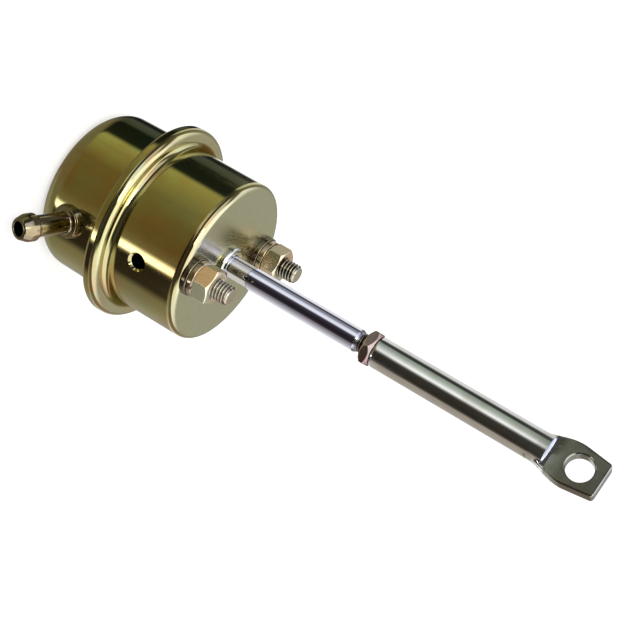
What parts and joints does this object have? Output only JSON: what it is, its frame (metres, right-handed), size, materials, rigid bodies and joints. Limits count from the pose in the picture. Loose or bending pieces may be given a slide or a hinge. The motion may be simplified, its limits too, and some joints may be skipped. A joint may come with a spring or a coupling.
{
  "type": "turbo wastegate actuator",
  "caption": "Diaphragm canister with a hose barb and mounting studs, whose spring-loaded push rod strokes a screw-adjusted flat eye for a wastegate lever.",
  "frame": {"origin": "centre of the mounting face, on the rod's axis", "axes": "+Z runs out of the mounting face along the rod, +X from the first stud to the second; it stands on the rear cup's flat end"},
  "size_m": [0.074, 0.0616, 0.1787],
  "materials": {
    "zinc_cups": "yellow zinc plated pressed steel, glossy",
    "fastener_zinc": "yellow zinc plated steel fasteners",
    "bush_steel": "turned steel bush, bright",
    "rod_chrome": "hard chromed rod",
    "lock_nut_zinc": "yellow zinc plated nut, reddish bronze tint",
    "rod_end_steel": "bright plated steel, drawn and pressed",
    "plain_steel": "plain pressed or turned steel",
    "spring_steel": "oiled spring wire",
    "diaphragm_rubber": "fabric reinforced rubber, matt"
  },
  "bodies": {
    "canister": {"front_cup": "zinc_cups", "rear_cup": "zinc_cups", "hose_barb": "zinc_cups", "diaphragm": "diaphragm_rubber", "guide_bush": "bush_steel", "spring_seat": "plain_steel", "return_spring": "spring_steel", "stud_1": "fastener_zinc", "flat_washer_1": "fastener_zinc", "lock_washer_1": "fastener_zinc", "stud_nut_1": "fastener_zinc", "stud_2": "fastener_zinc", "flat_washer_2": "fastener_zinc", "lock_washer_2": "fastener_zinc", "stud_nut_2": "fastener_zinc"},
    "push_rod": {"rod": "rod_chrome", "piston_cup": "plain_steel", "hub_washer": "plain_steel", "retainer_plate": "plain_steel", "rivet_washer": "plain_steel"},
    "lock_nut": {"lock_nut": "lock_nut_zinc"},
    "rod_end": {"rod_end": "rod_end_steel"}
  },
  "joints": [
    {"name": "rod_stroke", "type": "slide", "parent": "canister", "child": "push_rod", "axis": [0, 0, 1], "range_m": [0, 0.01], "stiffness_N_per_m": 8000, "springref_m": -0.01, "deforming": ["return_spring", "diaphragm"]},
    {"name": "rod_end_travel", "type": "slide", "parent": "push_rod", "child": "lock_nut", "axis": [0, 0, 1], "range_m": [-0.0018, 0.01]},
    {"name": "rod_end_turn", "type": "hinge", "parent": "lock_nut", "child": "rod_end", "pos_m": [0, 0, 0.08], "axis": [0, 0, 1], "range_deg": [-650, 3605]}
  ],
  "couplings": [
    {"joint": "rod_end_turn", "follows": "rod_end_travel", "rad_per_m": 6283.2}
  ]
}
